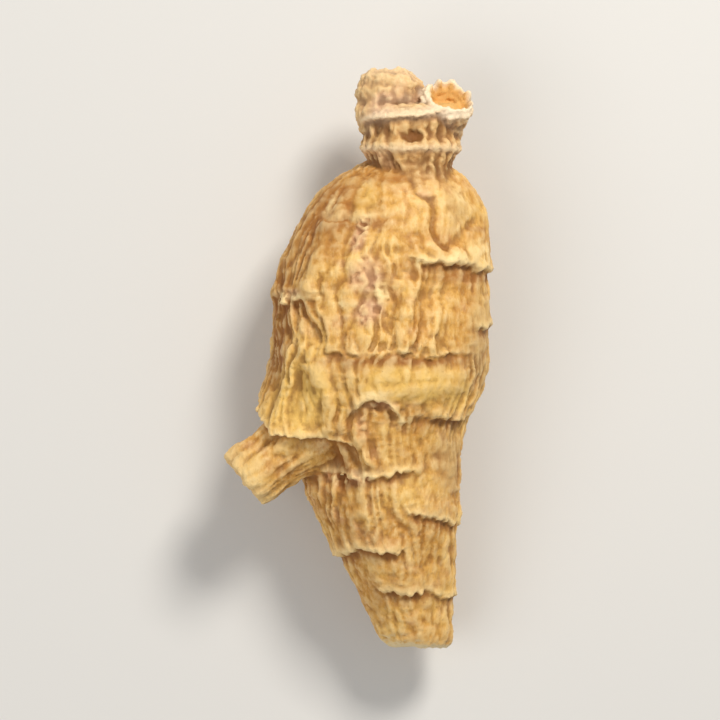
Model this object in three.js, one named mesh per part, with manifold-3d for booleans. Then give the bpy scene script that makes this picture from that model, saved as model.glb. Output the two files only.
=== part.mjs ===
// A short American ginseng root, dried whole, lying on its back.
//
// Millimetres. +X is to the right and +Y towards the crown for someone who looks straight down on the
// root, and +Z is up. The origin is the middle of the flat spot that the root rests on. The root grew
// as one piece, so it is one solid: a stout body with a collar and two stem scars at its crown, a side
// root cut short, and a tail with a cut end.
//
// Each limb is a skin around an axis. "depth" is the distance down that axis, and an angle of 0 faces
// up (+Z), 90 faces +X, 180 faces down and -90 faces -X.

import * as THREE from "three";
import Module from "manifold-3d";
import { mergeVertices } from "three/addons/utils/BufferGeometryUtils.js";

// Driving dimensions
const ORIGIN_DEPTH = 23.6; // from the crown's tip down to the origin
const ORIGIN_ACROSS = -0.4; // from the datum of x in the lists below to the origin
const REST_LEVEL = -8.0; // the flat spot, below the body's axis

// The body's outline: [half its width, depth], from the top of its shoulders to the cut end of its tail.
const BODY_OUTLINE = [
  [0, 7.7],
  [3.2, 8.3],
  [6.0, 10.0],
  [8.2, 12.9],
  [9.4, 16.8],
  [10.0, 21.5],
  [10.1, 26.5],
  [9.3, 30.6],
  [7.9, 34.6],
  [7.0, 39.2],
  [5.9, 43.6],
  [4.7, 47.4],
  [3.9, 50.4],
  [3.5, 52.5],
  [2.5, 53.3],
  [0, 53.1],
];
// Where the body's axis runs: [x, depth, z].
const BODY_AXIS = [
  [2.0, 7.7, 0.4],
  [1.1, 12.0, 0.2],
  [0.1, 18.0, 0],
  [-0.4, 26.0, 0],
  [-0.7, 33.0, -0.2],
  [0.2, 40.0, -0.6],
  [1.5, 47.0, -1.4],
  [3.0, 53.3, -2.6],
];
const BODY_OVAL = 0.88; // thickness as a share of width

// Folds of skin that end in a ledge, from the top down. Each runs across the body at a depth, between
// two angles, swells over its rise to its height, and is undercut below. A slant tips the line down to
// the right, an arch drops its two ends (a negative one lifts them), it fades out over its ends, in
// degrees, its height is uneven by a share, and the pleats hang below its line as a fringe. The tallest
// is the skirt that flares over the side root.
const USUAL = { slant: 0, arch: 0, rise: 3.6, ends: 16, uneven: 0.7, fringe: 1.0 };
const LEDGES = [
  { depth: 14.0, from: -58, to: 4, height: 0.15, rise: 2.4 },
  { depth: 16.2, from: 118, to: 236, height: 0.6, slant: 0.5 },
  { depth: 18.4, from: 10, to: 112, height: 0.7, slant: 0.3, arch: -0.3, rise: 2.6, uneven: 0.3 },
  { depth: 21.0, from: 104, to: 196, height: 0.5, slant: -0.6, arch: 0.4 },
  { depth: 21.4, from: -86, to: -24, height: 0.3, slant: 0.2 },
  { depth: 23.6, from: 56, to: 128, height: 0.4, slant: -0.6 },
  { depth: 25.6, from: 150, to: 264, height: 0.7, slant: 0.4 },
  { depth: 26.6, from: -38, to: 60, height: 0.22, slant: 0.1, rise: 3.0, uneven: 0.9 },
  { depth: 29.8, from: 96, to: 214, height: 0.65, slant: 0.5 },
  {
    depth: 30.3, from: -21, to: 21, height: 0.42, slant: 0.6, arch: 2.6, rise: 1.8, ends: 10, uneven: 0.1,
    fringe: 0.25,
  },
  { depth: 32.2, from: 20, to: 84, height: 0.3, rise: 3.0, ends: 26 },
  {
    depth: 32.4, from: -112, to: -8, height: 3.1, slant: 4.4, arch: -1.6, rise: 5.0, ends: 50, uneven: 0.1,
    fringe: 0.6,
  },
  { depth: 34.6, from: 140, to: 250, height: 0.7, slant: -0.4 },
  { depth: 37.4, from: -80, to: 30, height: 0.4, slant: -0.3, rise: 2.4 },
  { depth: 39.6, from: 150, to: 282, height: 0.5, slant: 0.4 },
  { depth: 41.6, from: 10, to: 120, height: 0.35, slant: 0.6 },
  { depth: 44.6, from: -120, to: 10, height: 0.35, slant: -0.5 },
  { depth: 45.4, from: 120, to: 250, height: 0.4, slant: 0.3 },
  { depth: 48.6, from: -40, to: 130, height: 0.3, slant: 0.3 },
].map((ledge) => ({ ...USUAL, ...ledge }));
const LEDGE_STEP = 1.3; // the ledge's own height along the body
const LEDGE_UNDERCUT = 0.4; // the groove under it, as a share of the ledge's height
const GROOVE_LENGTH = 1.1; // and how far that groove fades below it
const LEDGE_WAVE = { height: 0.8, around: 1.6 }; // how far a ledge's line wanders
const LEDGE_PATCHES = { around: 2.4, seed: 19, least: 0.3, most: 1.4 }; // how its height comes and goes

// Pleats: long folds that run down the body and start anew below each ledge.
const PLEATS_AROUND = 4.9; // cells of noise across one radian, about 31 pleats in all
const PLEATS_ALONG = 0.14; // cells of noise to the millimetre
const PLEAT_HEIGHT = 1.0;
const NEW_PLEATS = 2.7; // how far a ledge shifts the noise below it
const PLEATS_START = [8, 15]; // the depths between which the pleats set in
const TAIL = { from: 36, to: 48, share: 0.35 }; // where they thin out, and the share that is left
// Where the skin is smoother: the right shoulder, the band under the long crease, the middle of the
// shoulders, the lower right flank, the upper one, and the left shoulder. Each is an oval so many
// degrees wide and millimetres tall, and takes away a share of the pleats.
const CALM = [
  { angle: 55, depth: 13.0, wide: 46, tall: 4.6, share: 0.9 },
  { angle: 22, depth: 29.2, wide: 44, tall: 2.2, share: 0.75 },
  { angle: 12, depth: 13.0, wide: 26, tall: 5.0, share: 0.6 },
  { angle: 42, depth: 36.8, wide: 46, tall: 4.6, share: 0.8 },
  { angle: 60, depth: 23.0, wide: 36, tall: 4.4, share: 0.85 },
  { angle: -50, depth: 14.5, wide: 36, tall: 5.0, share: 0.5 },
];
// Broad swellings and hollows, each an oval hump: the band under the long crease, the three flaps of
// the right ledge, the dent below them, and the dip beside the skirt.
const SWELLINGS = [
  { angle: 18, depth: 28.9, wide: 38, tall: 1.9, height: 0.6 },
  { angle: 66, depth: 16.6, wide: 15, tall: 1.7, height: 0.7 },
  { angle: 40, depth: 17.2, wide: 10, tall: 1.4, height: 0.45 },
  { angle: 18, depth: 17.8, wide: 6, tall: 1.2, height: 0.45 },
  { angle: 45, depth: 20.6, wide: 26, tall: 1.5, height: -0.35 },
  { angle: -38, depth: 36.2, wide: 15, tall: 1.8, height: -1.5 },
];
// The few folds that stand out from the rest, each a long bulge with a rounded lower end: the angle of
// that end, the lean in degrees to the millimetre, the depths it runs between, its half width and its
// height.
const LOBES = [
  { angle: 13, lean: 0.3, from: 18.5, to: 26.4, width: 0.95, height: 0.8 },
  { angle: 31, lean: -1.2, from: 20.5, to: 26.0, width: 0.9, height: 0.5 },
  { angle: -10, lean: 0.6, from: 31.8, to: 36.6, width: 0.9, height: 0.8 },
  { angle: -34, lean: 1.0, from: 12.0, to: 20.8, width: 0.9, height: 0.5 },
  { angle: -52, lean: 0.6, from: 24.0, to: 33.0, width: 1.1, height: 0.6 },
  { angle: -27, lean: 1.4, from: 25.0, to: 33.4, width: 1.0, height: 0.5 },
  { angle: 36, lean: 3.4, from: 9.0, to: 16.9, width: 0.6, height: -0.6 },
  { angle: 38, lean: -10.0, from: 12.6, to: 16.7, width: 0.8, height: -0.32 },
];
const LOBE_RADIUS = 9; // the body's radius where the lobes are
const LOBE_TOP = 2.5; // how far a lobe takes to rise
const LOBE_FOOT = [-0.6, 0.3]; // where its lower end rounds off, next to the depth that it runs to
// Noise of several sizes: how high, or how far in radians, with how many cells across a radian and to
// the millimetre.
const SLOW_SWAY = { height: 0.24, around: 1.5, along: 0.22, seed: 29 }; // the pleats' wandering
const QUICK_SWAY = { height: 0.07, around: 3, along: 0.5, seed: 31 };
const LUMPS = { height: 0.5, around: 1.3, along: 0.13, seed: 11 };
const NODULES = { height: 0.3, around: 5.5, along: 0.6, seed: 250 };

// The collar at the crown: a rim that tips up to the right and is tallest in front, a waist with a bud
// scar, a beaded ridge, and a neck that sinks into the shoulders.
const COLLAR_OUTLINE = [
  [0, 3.3],
  [3.0, 3.3],
  [4.2, 3.5],
  [4.65, 4.1],
  [4.5, 5.0],
  [4.4, 6.3],
  [4.75, 7.2],
  [4.2, 8.0],
  [3.75, 9.0],
  [3.75, 10.2],
  [4.3, 11.8],
  [3.0, 13.6],
  [0, 14.0],
];
const COLLAR_AXIS = [
  [2.5, 2.9, 1.5],
  [2.4, 7.0, 2.0],
  [2.8, 14.0, 2.9],
];
const COLLAR_OVAL = 0.86;
const COLLAR_RADIUS = 4.2;
const RIBS = { height: 0.5, around: 4.2, along: 0.12, seed: 61, start: [4.6, 5.6] }; // down the collar
const BEADS = { height: 0.35, around: 3.4, seed: 67, depth: 7.3, width: 0.6 };
const RIM = { depth: 4.2, tips: 0.5, wanders: 0.3, around: 2.4, seed: 73, height: 0.5, width: 0.5 };
const BUD_SCAR = { angle: 1, depth: 6.5, wide: 0.9, tall: 0.5, sunk: 0.8 };

// The left stem scar: a low dome with a shallow dish on top. The right one: a hollow cup that tips
// towards the front.
const DOME_OUTLINE = [
  [0, 0.8],
  [1.1, 0.6],
  [1.9, 0.05],
  [2.7, 0.7],
  [3.15, 1.9],
  [3.0, 3.1],
  [3.2, 4.2],
  [2.6, 6.0],
  [0, 6.6],
];
const DOME_AXIS = [
  [0.55, 0, 1.5],
  [0.5, 6.6, 1.9],
];
const DOME_OVAL = 0.92;
const DOME = { seed: 71, ragged: 0.2 }; // how ragged its edge is
const CUP_OUTLINE = [
  [0, 2.0],
  [0.9, 1.75],
  [1.5, 0.7],
  [1.95, -0.05],
  [2.55, 0.15],
  [2.65, 0.9],
  [2.2, 2.2],
  [2.1, 4.4],
  [1.2, 6.0],
  [0, 6.3],
];
const CUP_MOUTH = [6.05, 2.55, 3.5]; // x, depth and z of the middle of the cup's mouth
const CUP_FACES = [0.22, 0.76, 0.61]; // the way the mouth looks
const CUP = { seed: 77, ragged: 0.9 };
// On both scars: rings, lumps, and the peaks of the ragged edge, which fade in front and down the side.
const RINGS = { height: 0.5, around: 0.9, along: 0.75, seed: 5 };
const SCAR_LUMPS = { height: 0.3, around: 1.9, along: 0.4, seed: 0 };
const PEAKS = { around: 3.2, seed: 9, down: 0.8, front: 0.25, back: [-0.3, 0.6] };
const SCAR_ROUGHNESS = 1.3; // times the skin's

// The side root: [half its thickness, depth along it], cut short at its far end.
const BRANCH_OUTLINE = [
  [0, 0],
  [3.6, 0.6],
  [4.9, 2.6],
  [4.2, 6.0],
  [3.4, 9.0],
  [3.0, 11.8],
  [3.05, 14.0],
  [2.5, 15.1],
  [1.1, 14.9],
  [0, 14.3],
];
const BRANCH_FOOT = [-0.9, 28.7, 0.8]; // x, depth and z of its start, inside the body
const BRANCH_GROWS = [-0.79, -0.61, 0.06]; // its direction: x, y, z
const BRANCH_BEND = 0.9; // how far its middle bows upwards
const BRANCH_OVAL = 0.9;
const BRANCH_PLEATS = { height: 0.4, around: 2.2, along: 0.1, seed: 83 };
const BRANCH_LUMPS = { height: 0.35, around: 0.9, along: 0.16, seed: 87 };

const ROUGHNESS = { height: 0.16, around: 3.3, along: 0.9, seed: 40 }; // the small wrinkles of every limb
const POLE_CALM = 1.2; // relief fades this near the middle of a limb's ends
const CUT_CALM = 2.9; // and more so on the cut ends of the tail and the side root

// Facets around and along each limb
const BODY_FACETS = [74, 58];
const COLLAR_FACETS = [42, 26];
const DOME_FACETS = [26, 14];
const CUP_FACETS = [28, 16];
const BRANCH_FACETS = [30, 18];

const ROOT_COLOUR = 0xd3a566;
const DEGREE = Math.PI / 180;
const TURN = 2 * Math.PI;

const clamp = THREE.MathUtils.clamp;
const smoothstep = THREE.MathUtils.smoothstep;
const lerp = THREE.MathUtils.lerp;

// One pseudo-random slope at a corner of the noise's lattice, dotted with the way from that corner.
function cornerSlope(x, y, z, dx, dy, dz) {
  let h = Math.imul(x, 374761393) ^ Math.imul(y, 668265263) ^ Math.imul(z, 1440662683);
  h = Math.imul(h ^ (h >>> 13), 1274126177);
  h ^= h >>> 16;
  const gx = (h & 1023) / 511.5 - 1;
  const gy = ((h >>> 10) & 1023) / 511.5 - 1;
  const gz = ((h >>> 20) & 1023) / 511.5 - 1;
  return gx * dx + gy * dy + gz * dz;
}

// Smooth gradient noise between about -1 and 1, with its lattice turned so that no rows of it line up.
function noise(x, y, z) {
  const turned = [0.8 * y + 0.6 * z, -0.8 * x + 0.36 * y - 0.48 * z, -0.6 * x - 0.48 * y + 0.64 * z];
  const [i, j, k] = turned.map(Math.floor);
  const [u, v, w] = [turned[0] - i, turned[1] - j, turned[2] - k];
  const [fu, fv, fw] = [u, v, w].map((t) => t * t * t * (t * (t * 6 - 15) + 10));
  const corner = (a, b, c) => cornerSlope(i + a, j + b, k + c, u - a, v - b, w - c);
  const edge = (b, c) => lerp(corner(0, b, c), corner(1, b, c), fu);
  const face = (c) => lerp(edge(0, c), edge(1, c), fv);
  return 1.1 * lerp(face(0), face(1), fw);
}

// Noise wrapped round an axis, with so many cells to the radian and to the millimetre.
const noiseAround = (angle, depth, around, along, seed) =>
  noise(around * Math.cos(angle) + seed, around * Math.sin(angle), along * depth + 0.37 * seed);

// Round-topped folds with sharp creases between them, from about -0.5 to 0.5.
const folds = (angle, depth, around, along, seed) =>
  Math.sqrt(Math.abs(noiseAround(angle, depth, around, along, seed)) + 0.004) - 0.5;

// The signed angle from one direction to another, the short way round.
const turnFrom = (angle, from) => ((((angle - from) % TURN) + 1.5 * TURN) % TURN) - Math.PI;

const noiseOf = (kind, angle, depth, seed = 0) =>
  kind.height * noiseAround(angle, depth, kind.around, kind.along, kind.seed + seed);

const foldsOf = (kind, angle, depth, seed = 0) =>
  kind.height * folds(angle, depth, kind.around, kind.along, kind.seed + seed);

// What one ledge does at a point: how much it lifts the skin, and how far the point is past its line (0
// to 1). The shift picks the pleats above the ledge, which are its fringe.
function ledgeAt(ledge, seed, angle, depth, shift) {
  const half = ((ledge.to - ledge.from) / 2) * DEGREE;
  const across = turnFrom(angle, ((ledge.from + ledge.to) / 2) * DEGREE) / half;
  const share = smoothstep(half * (1 - Math.abs(across)), 0, ledge.ends * DEGREE);
  if (share === 0) return { lift: 0, past: 0 };
  const { around, least, most } = LEDGE_PATCHES;
  const patches = noiseAround(angle, ledge.depth, around, 0, seed + LEDGE_PATCHES.seed);
  const wave = LEDGE_WAVE.height * noiseAround(angle, ledge.depth, LEDGE_WAVE.around, 0, seed);
  const fringe = ledge.fringe * folds(angle, ledge.depth, PLEATS_AROUND, PLEATS_ALONG, shift);
  const line = ledge.depth + ledge.slant * across + ledge.arch * across * across + wave + fringe;
  const below = depth - line;
  const height = ledge.height * clamp(1 + ledge.uneven * patches, least, most);
  const swell = height * clamp(1 + below / ledge.rise, 0, 1) ** 2;
  const groove = -LEDGE_UNDERCUT * height * Math.exp(-Math.max(below, 0) / GROOVE_LENGTH);
  const past = smoothstep(below, -LEDGE_STEP, 0);
  return { lift: share * lerp(swell, groove, past), past: share * past };
}

// How much of the pleats is left at a point: less at the top of the shoulders, down the thin tail and
// where it is calm.
function pleatShare(angle, depth) {
  const calmed = CALM.map((calm) => {
    const across = turnFrom(angle, calm.angle * DEGREE) / (calm.wide * DEGREE);
    return 1 - calm.share * Math.exp(-(Math.hypot(across, (depth - calm.depth) / calm.tall) ** 4));
  });
  const tail = lerp(1, TAIL.share, smoothstep(depth, TAIL.from, TAIL.to));
  return calmed.reduce((share, one) => share * one, smoothstep(depth, ...PLEATS_START) * tail);
}

function swellings(angle, depth) {
  return SWELLINGS.reduce((lift, one) => {
    const across = turnFrom(angle, one.angle * DEGREE) / (one.wide * DEGREE);
    return lift + one.height * Math.exp(-(across ** 2) - ((depth - one.depth) / one.tall) ** 2);
  }, 0);
}

function lobes(angle, depth) {
  return LOBES.reduce((lift, lobe) => {
    const middle = (lobe.angle + lobe.lean * (depth - lobe.to)) * DEGREE;
    const across = (turnFrom(angle, middle) * LOBE_RADIUS) / lobe.width;
    const top = smoothstep(depth, lobe.from, lobe.from + LOBE_TOP);
    const foot = 1 - smoothstep(depth - lobe.to, ...LOBE_FOOT);
    return lift + lobe.height * Math.exp(-across * across) * top * foot;
  }, 0);
}

function bodyRelief(angle, depth) {
  const swayed = angle + noiseOf(SLOW_SWAY, angle, depth) + noiseOf(QUICK_SWAY, angle, depth);
  let lift = 0;
  let shift = 0;
  LEDGES.forEach((ledge, index) => {
    const found = ledgeAt(ledge, index, swayed, depth, shift);
    lift += found.lift;
    shift += NEW_PLEATS * found.past;
  });
  const share = pleatShare(angle, depth);
  const pleats = PLEAT_HEIGHT * share * folds(swayed, depth, PLEATS_AROUND, PLEATS_ALONG, shift);
  const nodules = share * noiseOf(NODULES, angle, depth);
  const named = lobes(swayed, depth) + swellings(angle, depth);
  return lift + noiseOf(LUMPS, angle, depth) + pleats + named + nodules + noiseOf(ROUGHNESS, angle, depth, 3);
}

function collarRelief(angle, depth) {
  const ribs = foldsOf(RIBS, angle, depth) * smoothstep(depth, ...RIBS.start);
  const beaded = BEADS.height * folds(angle, 0, BEADS.around, 0, BEADS.seed);
  const beads = beaded * Math.exp(-(((depth - BEADS.depth) / BEADS.width) ** 2));
  const across = (turnFrom(angle, BUD_SCAR.angle * DEGREE) * COLLAR_RADIUS) / BUD_SCAR.wide;
  const scar = -BUD_SCAR.sunk * Math.exp(-(across ** 2) - ((depth - BUD_SCAR.depth) / BUD_SCAR.tall) ** 2);
  const wandering = RIM.wanders * noiseAround(angle, 0, RIM.around, 0, RIM.seed);
  const edge = RIM.depth - RIM.tips * Math.sin(angle) + wandering;
  const rim = RIM.height * (0.6 + 0.4 * Math.cos(angle)) * Math.exp(-(((depth - edge) / RIM.width) ** 2));
  return ribs + beads + scar + rim + noiseOf(ROUGHNESS, angle, depth, 7);
}

const scarRelief = ({ seed, ragged }) => (angle, depth) => {
  const towardsBack = lerp(PEAKS.front, 1, smoothstep(-Math.cos(angle), ...PEAKS.back));
  const peaked = ragged * towardsBack * noiseAround(angle, 0, PEAKS.around, 0, seed + PEAKS.seed);
  const peaks = peaked * Math.exp(-((depth / PEAKS.down) ** 2));
  const rough = SCAR_ROUGHNESS * noiseOf(ROUGHNESS, angle, depth, seed);
  return noiseOf(SCAR_LUMPS, angle, depth, seed) + rough + foldsOf(RINGS, angle, depth, seed) + peaks;
};

function branchRelief(angle, depth) {
  const folded = foldsOf(BRANCH_PLEATS, angle, depth) + noiseOf(BRANCH_LUMPS, angle, depth);
  return folded + noiseOf(ROUGHNESS, angle, depth, 13);
}

// A limb's skin: a sphere's mesh whose rows follow the outline and whose columns go round the axis.
function skin({ outline, axis, oval, relief, calm = POLE_CALM, facets: [around, along] }) {
  const profile = new THREE.SplineCurve(outline.map(([r, depth]) => new THREE.Vector2(r, depth)));
  const middle = axisOf(axis);
  const geometry = new THREE.SphereGeometry(1, around, along);
  const position = geometry.getAttribute("position");
  for (let row = 0; row <= along; row++) {
    const onProfile = profile.getPointAt(row / along);
    const tangent = profile.getTangentAt(row / along);
    const reach = row % along === 0 ? 0 : onProfile.x;
    const pole = smoothstep(reach, 0, calm);
    const centre = middle(onProfile.y);
    for (let column = 0; column <= around; column++) {
      const angle = TURN * ((column % around) / around) - Math.PI / 2;
      const lift = pole * relief(angle, onProfile.y);
      const radius = Math.max(reach + lift * tangent.y, 0);
      const depth = onProfile.y - lift * tangent.x;
      position.setXYZ(
        row * (around + 1) + column,
        centre.x + radius * Math.sin(angle),
        -depth,
        centre.z + oval * radius * Math.cos(angle),
      );
    }
  }
  geometry.deleteAttribute("normal");
  geometry.deleteAttribute("uv");
  return mergeVertices(geometry, 1e-4);
}

// A bent axis as a function of depth, from points [x, depth, z] in order of depth.
function axisOf(points) {
  const curve = new THREE.CatmullRomCurve3(points.map((p) => new THREE.Vector3(...p)), false, "catmullrom");
  const samples = curve.getPoints(60);
  return (depth) => {
    const next = samples.findIndex((p) => p.y > depth);
    if (next === 0) return samples[0];
    if (next < 0) return samples.at(-1);
    const [a, b] = [samples[next - 1], samples[next]];
    return a.clone().lerp(b, (depth - a.y) / (b.y - a.y));
  };
}

// Turns and moves a limb that was made going down from the origin, so that it starts at a point and
// goes a way.
function placed(geometry, [x, depth, z], way) {
  const turn = new THREE.Quaternion().setFromUnitVectors(new THREE.Vector3(0, -1, 0), way.normalize());
  return geometry.applyQuaternion(turn).translate(x, -depth, z);
}

function body() {
  return skin({
    outline: BODY_OUTLINE,
    axis: BODY_AXIS,
    oval: BODY_OVAL,
    relief: bodyRelief,
    calm: CUT_CALM,
    facets: BODY_FACETS,
  });
}

function collar() {
  return skin({
    outline: COLLAR_OUTLINE,
    axis: COLLAR_AXIS,
    oval: COLLAR_OVAL,
    relief: collarRelief,
    facets: COLLAR_FACETS,
  });
}

function domeScar() {
  return skin({
    outline: DOME_OUTLINE,
    axis: DOME_AXIS,
    oval: DOME_OVAL,
    relief: scarRelief(DOME),
    facets: DOME_FACETS,
  });
}

function cupScar() {
  const straight = [
    [0, -1, 0],
    [0, 7, 0],
  ];
  const cup = skin({
    outline: CUP_OUTLINE,
    axis: straight,
    oval: 1,
    relief: scarRelief(CUP),
    facets: CUP_FACETS,
  });
  return placed(cup, CUP_MOUTH, new THREE.Vector3(...CUP_FACES).negate());
}

function branch() {
  const bowed = [
    [0, 0, 0],
    [0, 7, BRANCH_BEND],
    [0, 15.2, 0],
  ];
  const limb = skin({
    outline: BRANCH_OUTLINE,
    axis: bowed,
    oval: BRANCH_OVAL,
    relief: branchRelief,
    calm: CUT_CALM,
    facets: BRANCH_FACETS,
  });
  return placed(limb, BRANCH_FOOT, new THREE.Vector3(...BRANCH_GROWS));
}

// Everything below the level that the root rests on.
function underTheRoot() {
  const size = 120;
  const block = new THREE.BoxGeometry(size, size, size);
  block.deleteAttribute("normal");
  block.deleteAttribute("uv");
  return mergeVertices(block).translate(0, 0, REST_LEVEL - size / 2);
}

const wasm = await Module();
wasm.setup();

function solid(geometry) {
  return new wasm.Manifold(
    new wasm.Mesh({
      numProp: 3,
      vertProperties: geometry.getAttribute("position").array,
      triVerts: new Uint32Array(geometry.getIndex().array),
    }),
  );
}

function geometryOf(made) {
  const mesh = made.getMesh();
  return new THREE.BufferGeometry()
    .setAttribute("position", new THREE.BufferAttribute(mesh.vertProperties, 3))
    .setIndex(new THREE.BufferAttribute(mesh.triVerts, 1));
}

function ginsengRoot() {
  const limbs = [collar, domeScar, cupScar, branch];
  const grown = limbs.reduce((whole, limb) => whole.add(solid(limb())), solid(body()));
  const geometry = geometryOf(grown.subtract(solid(underTheRoot())));
  geometry.computeVertexNormals();
  const material = new THREE.MeshStandardMaterial({ color: ROOT_COLOUR, roughness: 0.75, metalness: 0 });
  const mesh = new THREE.Mesh(geometry, material);
  mesh.name = "ginseng_root";
  mesh.position.set(-ORIGIN_ACROSS, ORIGIN_DEPTH, -REST_LEVEL);
  return mesh;
}

const group = new THREE.Group();
group.add(ginsengRoot());

export default group;
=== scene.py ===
"""A short American ginseng root, dried whole, lying on its back on a pale floor.

Its skin is made from the same outlines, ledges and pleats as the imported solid, on a much finer mesh. The
small wrinkles, the crust on its crown and its colours are added here.
"""

import math

import bpy
import numpy as np
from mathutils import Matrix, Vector
from mathutils.kdtree import KDTree


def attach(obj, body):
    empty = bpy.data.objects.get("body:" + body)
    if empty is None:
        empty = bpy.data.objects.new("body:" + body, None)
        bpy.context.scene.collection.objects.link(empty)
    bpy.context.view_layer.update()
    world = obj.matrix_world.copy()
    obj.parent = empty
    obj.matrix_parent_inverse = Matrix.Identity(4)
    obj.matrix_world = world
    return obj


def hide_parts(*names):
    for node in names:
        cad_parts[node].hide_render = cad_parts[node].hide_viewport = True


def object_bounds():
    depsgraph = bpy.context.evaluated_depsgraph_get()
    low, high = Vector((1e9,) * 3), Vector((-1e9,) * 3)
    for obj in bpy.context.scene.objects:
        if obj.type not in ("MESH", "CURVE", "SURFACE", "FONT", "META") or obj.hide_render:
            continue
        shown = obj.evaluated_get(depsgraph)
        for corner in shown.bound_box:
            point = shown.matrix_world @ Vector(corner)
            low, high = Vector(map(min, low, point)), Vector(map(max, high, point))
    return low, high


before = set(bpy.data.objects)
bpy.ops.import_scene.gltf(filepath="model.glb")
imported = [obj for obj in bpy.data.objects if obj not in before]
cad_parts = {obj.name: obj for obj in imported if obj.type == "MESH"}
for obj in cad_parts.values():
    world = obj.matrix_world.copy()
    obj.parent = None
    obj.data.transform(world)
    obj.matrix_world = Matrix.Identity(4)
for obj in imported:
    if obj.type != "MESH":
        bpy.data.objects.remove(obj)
CAD_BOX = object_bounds()

MM = 0.001
TURN = 2 * math.pi
DEGREE = math.pi / 180

# The root's shape in millimetres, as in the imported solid. Each limb is a skin around an axis. "depth" is
# the distance down that axis, and an angle of 0 faces up (+Z), 90 faces +X and -90 faces -X.
ORIGIN_DEPTH = 23.6  # from the crown's tip down to the origin
ORIGIN_ACROSS = -0.4  # from the datum of x in the lists below to the origin
REST_LEVEL = -8.0  # the flat spot that the root rests on, below the body's axis

# The body's outline: half its width and the depth, from the top of its shoulders to the tail's cut end
BODY_OUTLINE = [
    (0, 7.7), (3.2, 8.3), (6.0, 10.0), (8.2, 12.9), (9.4, 16.8), (10.0, 21.5), (10.1, 26.5), (9.3, 30.6),
    (7.9, 34.6), (7.0, 39.2), (5.9, 43.6), (4.7, 47.4), (3.9, 50.4), (3.5, 52.5), (2.5, 53.3), (0, 53.1),
]
# Where the body's axis runs: x, depth, z
BODY_AXIS = [
    (2.0, 7.7, 0.4), (1.1, 12.0, 0.2), (0.1, 18.0, 0), (-0.4, 26.0, 0),
    (-0.7, 33.0, -0.2), (0.2, 40.0, -0.6), (1.5, 47.0, -1.4), (3.0, 53.3, -2.6),
]
BODY_OVAL = 0.88  # thickness as a share of width

# Folds of skin that end in a ledge, from the top down, as in the imported solid. Each runs across the body
# at a depth, between two angles, swells over its rise to its height, and is undercut below. A slant tips
# its line down to the right, an arch drops its two ends, it fades out over its ends, its height is uneven
# by a share, and the pleats hang below its line as a fringe. Its edge is bright, with painted shade in a
# strip under it.
USUAL = {
    "slant": 0, "arch": 0, "rise": 3.6, "ends": 16, "uneven": 0.7, "fringe": 1.0, "bright": 1.0, "shade": 1.3,
}
LEDGES = [USUAL | ledge for ledge in [
    {"depth": 14.0, "from": -58, "to": 4, "height": 0.15, "rise": 2.4},
    {"depth": 16.2, "from": 118, "to": 236, "height": 0.6, "slant": 0.5},
    {
        "depth": 18.4, "from": 10, "to": 112, "height": 0.7, "slant": 0.3, "arch": -0.3, "rise": 2.6,
        "uneven": 0.3,
    },
    {"depth": 21.0, "from": 104, "to": 196, "height": 0.5, "slant": -0.6, "arch": 0.4},
    {"depth": 21.4, "from": -86, "to": -24, "height": 0.3, "slant": 0.2},
    {"depth": 23.6, "from": 56, "to": 128, "height": 0.4, "slant": -0.6},
    {"depth": 25.6, "from": 150, "to": 264, "height": 0.7, "slant": 0.4},
    {
        "depth": 26.6, "from": -38, "to": 60, "height": 0.22, "slant": 0.1, "rise": 3.0, "uneven": 0.9,
        "bright": 0.35,
    },
    {"depth": 29.8, "from": 96, "to": 214, "height": 0.65, "slant": 0.5},
    {
        "depth": 30.3, "from": -21, "to": 21, "height": 0.42, "slant": 0.6, "arch": 2.6, "rise": 1.8,
        "ends": 10, "uneven": 0.1, "fringe": 0.25, "shade": 0.5,
    },
    {"depth": 32.2, "from": 20, "to": 84, "height": 0.3, "rise": 3.0, "ends": 26, "bright": 0.6},
    {
        "depth": 32.4, "from": -112, "to": -8, "height": 3.1, "slant": 4.4, "arch": -1.6, "rise": 5.0,
        "ends": 50, "uneven": 0.1, "fringe": 0.6,
    },
    {"depth": 34.6, "from": 140, "to": 250, "height": 0.7, "slant": -0.4},
    {"depth": 37.4, "from": -80, "to": 30, "height": 0.4, "slant": -0.3, "rise": 2.4},
    {"depth": 39.6, "from": 150, "to": 282, "height": 0.5, "slant": 0.4},
    {"depth": 41.6, "from": 10, "to": 120, "height": 0.35, "slant": 0.6},
    {"depth": 44.6, "from": -120, "to": 10, "height": 0.35, "slant": -0.5},
    {"depth": 45.4, "from": 120, "to": 250, "height": 0.4, "slant": 0.3},
    {"depth": 48.6, "from": -40, "to": 130, "height": 0.3, "slant": 0.3},
]]
LEDGE_STEP = 0.5  # the ledge's own height along the body
LEDGE_UNDERCUT = 0.4  # the groove under it, as a share of the ledge's height
GROOVE_LENGTH = 1.1  # and how far that groove fades below it
LEDGE_WAVE = {"height": 0.8, "around": 1.6}  # how far a ledge's line wanders
LEDGE_PATCHES = {"around": 2.4, "seed": 19, "least": 0.3, "most": 1.4}  # how its height comes and goes
# The lip is above 0 on a ledge's edge, below 0 under it, where it paints shade, and stronger on a tall ledge
LIP_EDGE = {"depth": -0.3, "width": 0.4}
LIP_SHADE = {"depth": 0.45, "width": 0.45}
LIP_LEAST = 0.2
LIP_MOST = 0.65
OVERHANG = 0.55  # how far a lip of 1 hangs down over what is below it
SIDE = 0.5  # a lip hangs down only where the outline runs down the limb at least this steeply

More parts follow.
